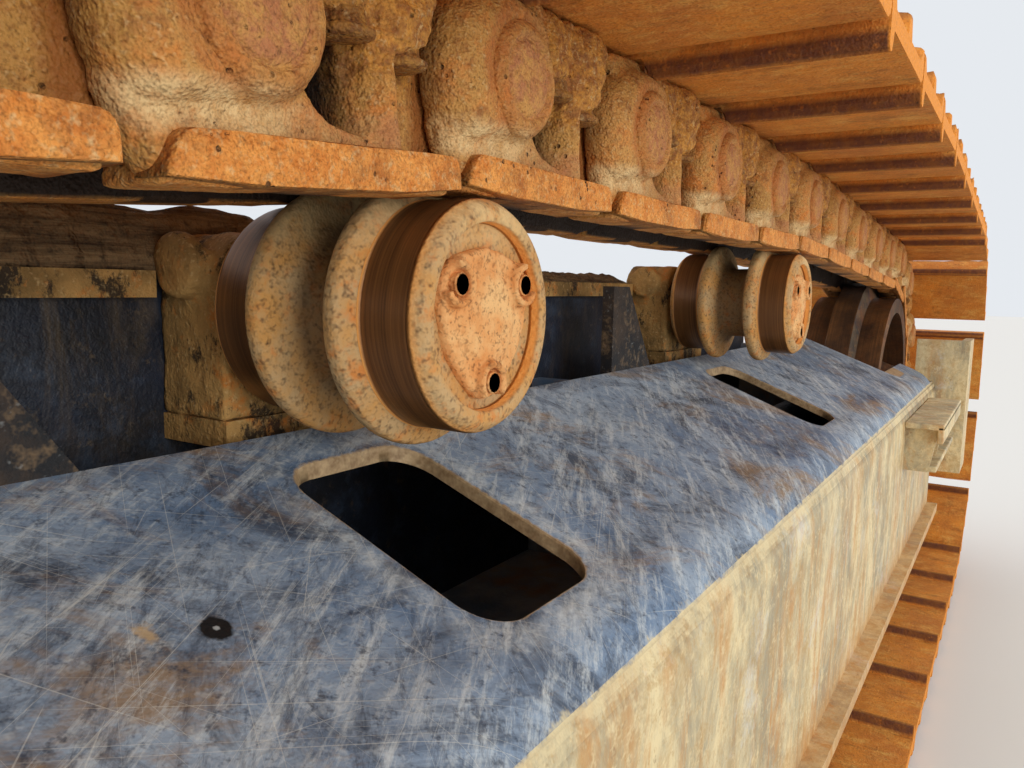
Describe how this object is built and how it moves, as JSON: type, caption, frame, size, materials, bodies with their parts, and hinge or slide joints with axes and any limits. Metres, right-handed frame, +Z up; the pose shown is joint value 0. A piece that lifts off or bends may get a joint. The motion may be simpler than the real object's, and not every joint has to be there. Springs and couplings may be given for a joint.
{
  "type": "crawler excavator track unit",
  "caption": "Right-hand crawler unit of a large excavator: a closed chain of links and grouser shoes round a box frame with carrier rollers, track rollers, idler wheel and final drive.",
  "frame": {"origin": "centre of the overall box, on the ground under the shoes", "axes": "+X towards the idler at the front of the machine, -Y the outer side, +Z up"},
  "size_m": [5.713, 0.732, 1.2299],
  "materials": {
    "shoe_steel": "rusty rolled steel, worn bare at the grousers",
    "link_steel": "orange-brown rusty forging, pitted",
    "roller_steel": "worn steel, polished where the chain runs",
    "shaft_steel": "turned steel",
    "frame_paint": "faded paint, scratched and streaked with rust",
    "frame_inner": "dark paint, dull with dust",
    "bracket_paint": "faded tan paint with rust spots"
  },
  "bodies": {
    "frame": {"carbody_pad_1": "frame_paint", "carbody_pad_2": "frame_paint", "carrier_bracket_1": "bracket_paint", "carrier_bracket_2": "bracket_paint", "carrier_bracket_3": "bracket_paint", "carrier_cap_1": "roller_steel", "carrier_cap_2": "roller_steel", "carrier_cap_3": "roller_steel", "carrier_roller_1": "roller_steel", "carrier_roller_2": "roller_steel", "carrier_roller_3": "roller_steel", "carrier_shaft_1": "shaft_steel", "carrier_shaft_2": "shaft_steel", "carrier_shaft_3": "shaft_steel", "carrier_shelves": "frame_inner", "deck_gussets": "frame_paint", "final_drive_cover": "bracket_paint", "final_drive_drum": "frame_inner", "final_drive_housing": "frame_inner", "frame_bottom": "frame_paint", "frame_bulkheads": "frame_paint", "frame_flanges": "frame_paint", "frame_ledge": "frame_paint", "frame_skin": "frame_paint", "frame_wall": "frame_inner", "front_guard": "frame_inner", "idler_block_inner": "bracket_paint", "idler_block_outer": "bracket_paint", "idler_guide_arms": "frame_paint", "idler_shaft": "shaft_steel", "motor_guard": "frame_paint", "recoil_unit": "frame_inner", "sprocket": "roller_steel", "step_bracket": "frame_paint", "tension_yoke": "frame_inner", "track_bushes": "link_steel", "track_links_inner": "link_steel", "track_links_outer": "link_steel", "track_roller_collars": "roller_steel", "track_roller_shafts": "shaft_steel", "track_rollers": "roller_steel", "track_shoes": "shoe_steel", "travel_motor": "frame_inner"},
    "idler": {"idler_wheel": "roller_steel"}
  },
  "joints": [
    {"name": "idler_spin", "type": "hinge", "parent": "frame", "child": "idler", "pos_m": [2.28168, -0.016, 0.5818], "axis": [0, 1, 0], "continuous": true}
  ]
}
